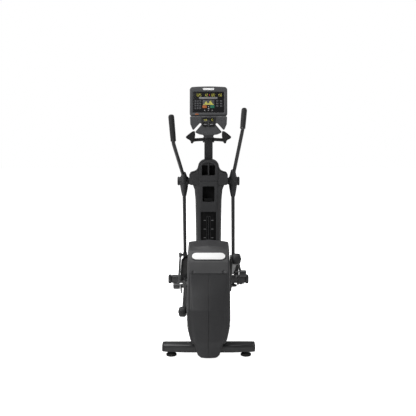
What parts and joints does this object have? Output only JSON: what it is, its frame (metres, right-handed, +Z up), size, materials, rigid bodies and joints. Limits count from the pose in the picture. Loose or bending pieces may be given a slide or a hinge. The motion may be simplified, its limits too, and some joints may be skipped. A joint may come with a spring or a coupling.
{
  "type": "elliptical trainer",
  "caption": "Elliptical trainer with a rear drive in a shroud, pedal arms on an inclined roller ramp, swinging handlebars and a console on a mast",
  "frame": {"origin": "on the floor under the middle of the overall box", "axes": "+Z up, +Y the way the user faces, from the drive shroud at -Y to the console and front stabilizer at +Y, +X to the user's right"},
  "size_m": [0.715, 1.907, 1.7253],
  "materials": {
    "painted_steel": "semi-gloss black powder coat",
    "charcoal_plastic": "fine-textured charcoal moulding",
    "black_plastic": "fine-textured black moulding",
    "grey_plastic": "satin grey moulding",
    "rubber": "matt black rubber",
    "grip_foam": "soft black grip sleeve",
    "steel": "machined and plated",
    "dark_steel": "black painted plate",
    "screen_overlay": "glossy printed overlay",
    "badge": "blank white badge"
  },
  "bodies": {
    "frame": {"main_frame": "painted_steel", "rear_stabilizer": "painted_steel", "front_stabilizer": "painted_steel", "left_rear_foot": "rubber", "right_rear_foot": "rubber", "left_side_cover": "charcoal_plastic", "right_side_cover": "charcoal_plastic", "lower_rear_cover": "charcoal_plastic", "upper_rear_cover": "charcoal_plastic", "cover_badge": "badge", "crank_bearing": "steel", "resistance_magnet": "dark_steel", "drive_belt": "rubber", "lift_motor": "grey_plastic", "column_rear_cover": "charcoal_plastic", "column_front_cover": "charcoal_plastic", "column_head": "charcoal_plastic", "bottle_pocket": "black_plastic", "incline_scale_panel": "black_plastic", "handle_pivot_axle": "steel", "left_pivot_cap": "black_plastic", "right_pivot_cap": "black_plastic", "mast": "painted_steel", "console_bezel": "charcoal_plastic", "console_back": "black_plastic", "console_glass": "screen_overlay", "console_lower_panel": "grey_plastic", "hand_bar": "painted_steel", "left_fixed_grip": "grip_foam", "right_fixed_grip": "grip_foam"},
    "crankset": {"crank_shaft": "steel", "drive_pulley": "dark_steel", "left_crank_arm": "dark_steel", "right_crank_arm": "dark_steel"},
    "flywheel_set": {"flywheel": "steel"},
    "ramp_frame": {"ramp": "painted_steel"},
    "left_carriage": {"left_roller_axle": "steel"},
    "left_roller_wheel": {"left_roller": "rubber"},
    "left_arm": {"left_pedal_arm": "painted_steel", "left_crank_joint": "black_plastic", "left_pedal": "black_plastic", "left_pedal_pad": "rubber"},
    "left_handle": {"left_handle_lower": "painted_steel", "left_handle_upper": "painted_steel", "left_grip": "grip_foam"},
    "left_link_bar": {"left_link": "steel"},
    "left_paddle": {"left_console_paddle": "black_plastic"},
    "left_wheel": {"left_transport_wheel": "rubber"},
    "right_carriage": {"right_roller_axle": "steel"},
    "right_roller_wheel": {"right_roller": "rubber"},
    "right_arm": {"right_pedal_arm": "painted_steel", "right_crank_joint": "black_plastic", "right_pedal": "black_plastic", "right_pedal_pad": "rubber"},
    "right_handle": {"right_handle_lower": "painted_steel", "right_handle_upper": "painted_steel", "right_grip": "grip_foam"},
    "right_link_bar": {"right_link": "steel"},
    "right_paddle": {"right_console_paddle": "black_plastic"},
    "right_wheel": {"right_transport_wheel": "rubber"}
  },
  "joints": [
    {"name": "crank_spin", "type": "hinge", "parent": "frame", "child": "crankset", "pos_m": [0, -0.515, 0.352], "axis": [1, 0, 0], "continuous": true},
    {"name": "flywheel_spin", "type": "hinge", "parent": "frame", "child": "flywheel_set", "pos_m": [0, -0.755, 0.285], "axis": [1, 0, 0], "continuous": true},
    {"name": "ramp_incline", "type": "hinge", "parent": "frame", "child": "ramp_frame", "pos_m": [0, -0.06, 0.15], "axis": [1, 0, 0], "range_deg": [-10, 3]},
    {"name": "left_stride", "type": "slide", "parent": "ramp_frame", "child": "left_carriage", "axis": [0, 0.9655, 0.2605], "range_m": [-0.39, 0.08]},
    {"name": "left_roller_spin", "type": "hinge", "parent": "left_carriage", "child": "left_roller_wheel", "pos_m": [-0.1315, 0.38849, 0.3453], "axis": [1, 0, 0], "continuous": true},
    {"name": "left_arm_pitch", "type": "hinge", "parent": "left_carriage", "child": "left_arm", "pos_m": [-0.16, 0.38849, 0.3453], "axis": [1, 0, 0], "range_deg": [-39, 1]},
    {"name": "left_handle_swing", "type": "hinge", "parent": "frame", "child": "left_handle", "pos_m": [-0.192, 0.275, 0.998], "axis": [1, 0, 0], "range_deg": [-36, 8]},
    {"name": "left_link_swing", "type": "hinge", "parent": "left_handle", "child": "left_link_bar", "pos_m": [-0.23, 0.41244, 0.37805], "axis": [1, 0, 0], "range_deg": [-33, 30]},
    {"name": "left_paddle_rock", "type": "hinge", "parent": "frame", "child": "left_paddle", "pos_m": [-0.023, 0.212, 1.441], "axis": [1, 0, 0], "range_deg": [-8, 8], "stiffness_Nm_per_rad": 0.05},
    {"name": "left_wheel_spin", "type": "hinge", "parent": "frame", "child": "left_wheel", "pos_m": [-0.293, 0.925, 0.0305], "axis": [1, 0, 0], "continuous": true},
    {"name": "right_stride", "type": "slide", "parent": "ramp_frame", "child": "right_carriage", "axis": [0, 0.9655, 0.2605], "range_m": [-0.0801, 0.3901]},
    {"name": "right_roller_spin", "type": "hinge", "parent": "right_carriage", "child": "right_roller_wheel", "pos_m": [0.1315, 0.07902, 0.26186], "axis": [1, 0, 0], "continuous": true},
    {"name": "right_arm_pitch", "type": "hinge", "parent": "right_carriage", "child": "right_arm", "pos_m": [0.16, 0.07902, 0.26186], "axis": [1, 0, 0], "range_deg": [-1.01, 39.01]},
    {"name": "right_handle_swing", "type": "hinge", "parent": "frame", "child": "right_handle", "pos_m": [0.192, 0.275, 0.998], "axis": [1, 0, 0], "range_deg": [-8, 36]},
    {"name": "right_link_swing", "type": "hinge", "parent": "right_handle", "child": "right_link_bar", "pos_m": [0.23, 0.13756, 0.37805], "axis": [1, 0, 0], "range_deg": [-30.01, 33.01]},
    {"name": "right_paddle_rock", "type": "hinge", "parent": "frame", "child": "right_paddle", "pos_m": [0.023, 0.212, 1.441], "axis": [1, 0, 0], "range_deg": [-8, 8], "stiffness_Nm_per_rad": 0.05},
    {"name": "right_wheel_spin", "type": "hinge", "parent": "frame", "child": "right_wheel", "pos_m": [0.293, 0.925, 0.0305], "axis": [1, 0, 0], "continuous": true}
  ],
  "couplings": [
    {"joint": "flywheel_spin", "follows": "crank_spin", "ratio": 4.3182},
    {"joint": "right_stride", "follows": "left_stride", "ratio": -1},
    {"joint": "left_roller_spin", "follows": "left_stride", "rad_per_m": -28.571},
    {"joint": "right_roller_spin", "follows": "left_stride", "rad_per_m": 28.571},
    {"joint": "left_handle_swing", "follows": "left_stride", "rad_per_m": 1.59},
    {"joint": "right_handle_swing", "follows": "left_stride", "rad_per_m": -1.59},
    {"joint": "right_arm_pitch", "follows": "left_arm_pitch", "ratio": -1},
    {"joint": "right_link_swing", "follows": "left_link_swing", "ratio": -1}
  ]
}
